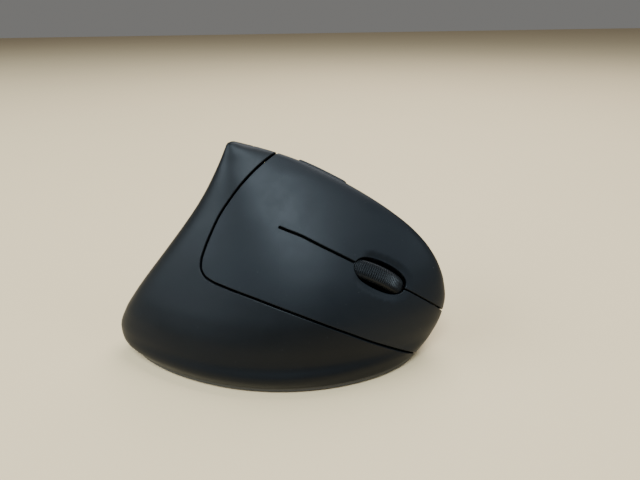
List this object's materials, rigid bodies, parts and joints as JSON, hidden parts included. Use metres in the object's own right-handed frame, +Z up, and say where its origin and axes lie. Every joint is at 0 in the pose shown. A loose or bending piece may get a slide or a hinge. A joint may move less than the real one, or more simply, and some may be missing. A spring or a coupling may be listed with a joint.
{
  "type": "wireless vertical mouse",
  "caption": "Right-handed wireless vertical mouse in matte black: tall curved shell, finger panel split into two keys by a fine slot, ribbed scroll wheel, thumb scoop with side buttons.",
  "frame": {"origin": "bottom centre of the mouse's bounding box, the undersides of the glide feet on z = 0", "axes": "+Z up, +Y to the front where the fingers point, +X to the finger side; the thumb side is -X"},
  "size_m": [0.0646, 0.12, 0.0748],
  "materials": {
    "shell_black": "fine matte texture",
    "panel_black": "soft-touch matte",
    "strip_black": "matte",
    "button_black": "satin",
    "base_dark": "fine matte texture",
    "feet_dark": "waxy, worn smooth",
    "tyre_rubber": "fine ribs across the tread",
    "hub_dark": "satin",
    "steel": "turned",
    "spring_nickel": "bright nickel",
    "cell_sleeve": "printed film, plain",
    "board_green": "solder mask",
    "chip_black": "moulded epoxy",
    "switch_dark": "matte",
    "switch_white": "satin",
    "frame_grey": "matte",
    "lens_clear": "clear acrylic",
    "lamp_lens": "smoked, translucent",
    "ribbon_white": "film"
  },
  "bodies": {
    "casing": {"main_shell": "shell_black", "thumb_shell": "shell_black", "side_strip": "strip_black", "button_deck": "panel_black", "indicator_lens": "lamp_lens", "base_plate": "base_dark", "battery_tray": "frame_grey", "aaa_cell_1": "cell_sleeve", "aaa_cell_2": "cell_sleeve", "battery_contacts": "spring_nickel", "battery_spring_1": "spring_nickel", "battery_spring_2": "spring_nickel", "front_foot": "feet_dark", "rear_feet": "feet_dark", "main_board": "board_green", "sensor_chip": "chip_black", "sensor_lens": "lens_clear", "control_chip": "chip_black", "radio_can": "steel", "power_switch": "switch_dark", "inner_frame": "frame_grey", "button_board": "board_green", "left_switch": "switch_dark", "right_switch": "switch_dark", "encoder": "switch_dark", "axle_guide": "frame_grey", "middle_switch": "switch_dark", "side_board": "board_green", "back_switch": "switch_dark", "forward_switch": "switch_dark", "dpi_switch": "switch_dark", "case_screws": "steel", "board_screws": "steel", "button_ribbon": "ribbon_white", "side_ribbon": "ribbon_white"},
    "left_key": {"left_button": "panel_black"},
    "right_key": {"right_button": "panel_black"},
    "left_plunger": {"left_plunger": "switch_white"},
    "right_plunger": {"right_plunger": "switch_white"},
    "back_key": {"back_button": "button_black"},
    "forward_key": {"forward_button": "button_black"},
    "dpi_key": {"dpi_button": "button_black"},
    "wheel_tilt": {"axle_bush": "switch_dark"},
    "scroll_wheel": {"wheel_hub": "hub_dark", "wheel_tyre": "tyre_rubber", "wheel_axle": "steel", "encoder_rotor": "switch_white"},
    "power_knob": {"power_slider": "switch_white"},
    "battery_door": {"battery_door": "base_dark"},
    "receiver": {"receiver_cap": "hub_dark", "receiver_plug": "steel"}
  },
  "joints": [
    {"name": "left_click", "type": "hinge", "parent": "casing", "child": "left_key", "pos_m": [0.00731, 0.00171, 0.0499], "axis": [-0.6542, -0.0068, 0.7563], "range_deg": [0, 0.7], "stiffness_Nm_per_rad": 2.5},
    {"name": "right_click", "type": "hinge", "parent": "casing", "child": "right_key", "pos_m": [0.02205, 0.00178, 0.02947], "axis": [-0.5853, -0.0026, 0.8108], "range_deg": [0, 0.7], "stiffness_Nm_per_rad": 2.5},
    {"name": "left_pin", "type": "slide", "parent": "casing", "child": "left_plunger", "axis": [-0.7985, -0.2558, -0.5449], "range_m": [0, 0.0003]},
    {"name": "right_pin", "type": "slide", "parent": "casing", "child": "right_plunger", "axis": [-0.7985, -0.2558, -0.5449], "range_m": [0, 0.0003]},
    {"name": "back_press", "type": "slide", "parent": "casing", "child": "back_key", "axis": [1, 0, 0], "range_m": [0, 0.0005], "stiffness_N_per_m": 1200},
    {"name": "forward_press", "type": "slide", "parent": "casing", "child": "forward_key", "axis": [1, 0, 0], "range_m": [0, 0.0005], "stiffness_N_per_m": 1200},
    {"name": "dpi_press", "type": "slide", "parent": "casing", "child": "dpi_key", "axis": [1, 0, 0], "range_m": [0, 0.0005], "stiffness_N_per_m": 1200},
    {"name": "wheel_press", "type": "hinge", "parent": "casing", "child": "wheel_tilt", "pos_m": [0.01258, 0.02893, 0.02438], "axis": [-0.0357, -0.8835, 0.467], "range_deg": [0, 1.2], "stiffness_Nm_per_rad": 0.24},
    {"name": "wheel_spin", "type": "hinge", "parent": "wheel_tilt", "child": "scroll_wheel", "pos_m": [0.00753, 0.03222, 0.03023], "axis": [-0.6009, 0.3924, 0.6964], "continuous": true},
    {"name": "power_slide", "type": "slide", "parent": "casing", "child": "power_knob", "axis": [0, 1, 0], "range_m": [0, 0.0024]},
    {"name": "door_slide", "type": "slide", "parent": "casing", "child": "battery_door", "axis": [0, -1, 0], "range_m": [0, 0.012]},
    {"name": "receiver_pull", "type": "slide", "parent": "casing", "child": "receiver", "axis": [0, 0, -1], "range_m": [0, 0.012]}
  ],
  "couplings": [
    {"joint": "left_pin", "follows": "left_click", "m_per_rad": 0.01927},
    {"joint": "right_pin", "follows": "right_click", "m_per_rad": 0.01235}
  ]
}
